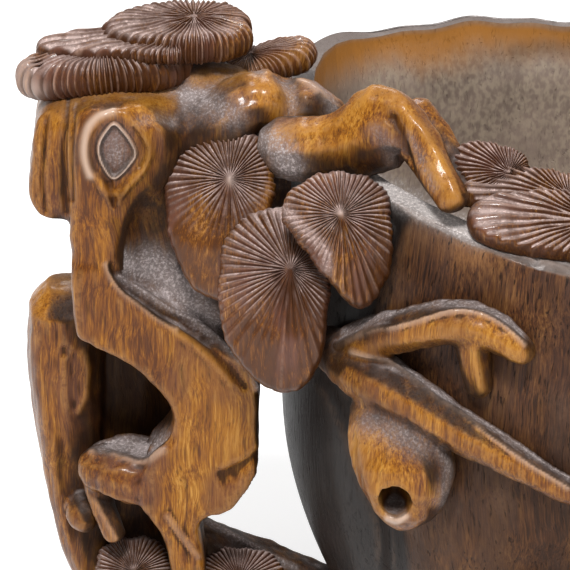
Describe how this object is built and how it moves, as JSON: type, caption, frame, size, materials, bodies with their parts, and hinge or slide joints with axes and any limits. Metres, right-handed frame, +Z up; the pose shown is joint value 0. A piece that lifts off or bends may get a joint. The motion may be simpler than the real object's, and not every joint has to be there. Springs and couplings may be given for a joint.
{
  "type": "libation cup",
  "caption": "Oval flared libation cup carved from horn, with an openwork pine-tree handle and pine branches in relief on its walls",
  "frame": {"origin": "the middle of the flat foot, on the surface that the cup stands on", "axes": "+X runs along the mouth from the handle to the pouring end, +Y to the back, +Z up"},
  "size_m": [0.1648, 0.0956, 0.1128],
  "materials": {
    "horn": "polished horn with vertical fibre grain, amber to dark brown, semi-gloss",
    "dark_horn": "smooth dark grey-brown horn, worn satin",
    "needle_horn": "carved needle ridges with dust in the grooves, satin"
  },
  "bodies": {
    "root": {"vessel": "dark_horn", "front_relief_trunk": "horn", "crown_trunk": "horn", "cut_knot": "horn", "crown_bough": "horn", "bark_slab": "horn", "rear_trunk": "horn", "inner_trunk": "dark_horn", "front_trunk": "horn", "front_root": "horn", "shoulder_bough": "horn", "bridge_bough": "dark_horn", "cross_branch": "horn", "slanting_stub": "horn", "knob_stub": "horn", "root_bough": "dark_horn", "rim_bough": "horn", "knee_bough": "horn", "knee_twig": "horn", "top_cluster_low": "needle_horn", "top_cluster_middle": "needle_horn", "top_cluster_high": "needle_horn", "top_cluster_right": "needle_horn", "front_cluster_left": "needle_horn", "front_cluster_low": "needle_horn", "front_cluster_right": "needle_horn", "handle_cluster_low_left": "needle_horn", "handle_cluster_low_right": "needle_horn", "handle_cluster_back_left": "needle_horn", "handle_cluster_back_right": "needle_horn", "handle_cluster_back_low": "needle_horn", "rim_cluster_main": "needle_horn", "rim_cluster_middle": "needle_horn", "rim_cluster_left": "needle_horn", "rim_cluster_back": "needle_horn", "diagonal_branch": "horn", "forked_branch": "horn", "fork_stub": "horn", "hollow_knot": "horn", "wall_cluster_low": "needle_horn", "wall_cluster_upper": "needle_horn", "wall_cluster_right": "needle_horn", "wall_cluster_middle": "needle_horn", "back_relief_trunk": "horn", "back_branch": "horn", "back_cluster_upper": "needle_horn", "back_cluster_left": "needle_horn", "back_cluster_low": "needle_horn"}
  },
  "joints": []
}
